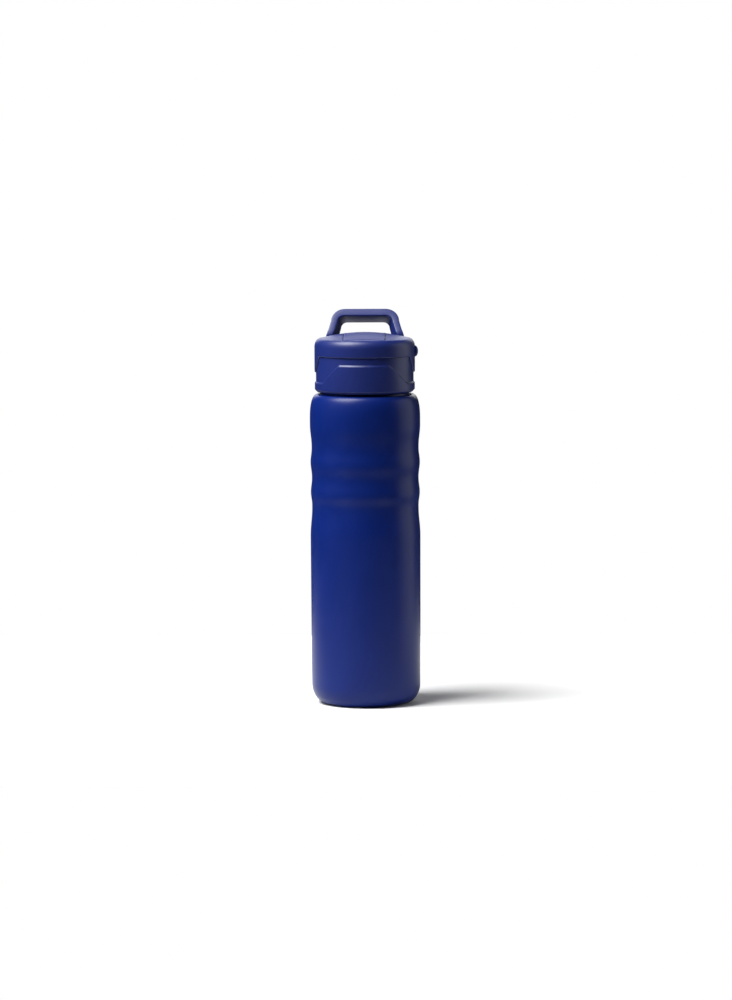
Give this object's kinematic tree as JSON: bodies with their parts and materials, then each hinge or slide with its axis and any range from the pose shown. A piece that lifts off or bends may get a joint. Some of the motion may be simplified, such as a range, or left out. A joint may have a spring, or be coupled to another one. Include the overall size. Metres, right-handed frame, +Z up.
{
  "type": "insulated water bottle",
  "caption": "Waisted insulated steel bottle with a screw lid, flip cover over a spout, side push button and folding carry loop.",
  "frame": {"origin": "middle of the base, on the plane the bottle stands on", "axes": "+Z up along the bottle, -Y the front, +X the side with the button, +Y the side with the carry loop"},
  "size_m": [0.0732, 0.0732, 0.2614],
  "materials": {
    "coated_blue": "satin powder coat",
    "lid_blue": "fine matte",
    "steel": "brushed",
    "navy_plastic": "matte",
    "grey_plastic": "satin",
    "silicone": "matte",
    "foam": "foamed"
  },
  "bodies": {
    "bottle": {"outer_shell": "coated_blue", "inner_liner": "steel", "base_cup": "coated_blue", "vacuum_plug": "steel", "base_disc": "steel", "getter_pellet": "steel"},
    "seal": {"cap_gasket": "silicone"},
    "lid": {"cap_collar": "lid_blue", "cap_core": "navy_plastic", "cap_foam": "foam", "cap_top": "lid_blue", "drink_spout": "grey_plastic", "vent_valve": "silicone", "cover_pin": "steel", "cover_spring": "steel", "button_spring": "steel", "handle_pin_right": "steel", "handle_pin_left": "steel"},
    "cover": {"flip_cover": "lid_blue", "spout_seal": "silicone"},
    "button": {"side_button": "navy_plastic", "latch_slider": "navy_plastic"},
    "loop": {"carry_handle": "lid_blue"}
  },
  "joints": [
    {"name": "lid_lift", "type": "slide", "parent": "bottle", "child": "seal", "axis": [0, 0, 1], "range_m": [0, 0.0241]},
    {"name": "lid_turn", "type": "hinge", "parent": "seal", "child": "lid", "pos_m": [0, 0, 0.2168], "axis": [0, 0, 1], "range_deg": [0, 1080]},
    {"name": "cover_open", "type": "hinge", "parent": "lid", "child": "cover", "pos_m": [0, 0.013, 0.2436], "axis": [-1, 0, 0], "range_deg": [0, 90]},
    {"name": "button_press", "type": "slide", "parent": "lid", "child": "button", "axis": [-1, 0, 0], "range_m": [0, 0.002], "stiffness_N_per_m": 600},
    {"name": "loop_swing", "type": "hinge", "parent": "lid", "child": "loop", "pos_m": [0, 0.016, 0.2385], "axis": [-1, 0, 0], "range_deg": [0, 45]}
  ],
  "couplings": [
    {"joint": "lid_lift", "follows": "lid_turn", "m_per_rad": 0.0012732}
  ]
}
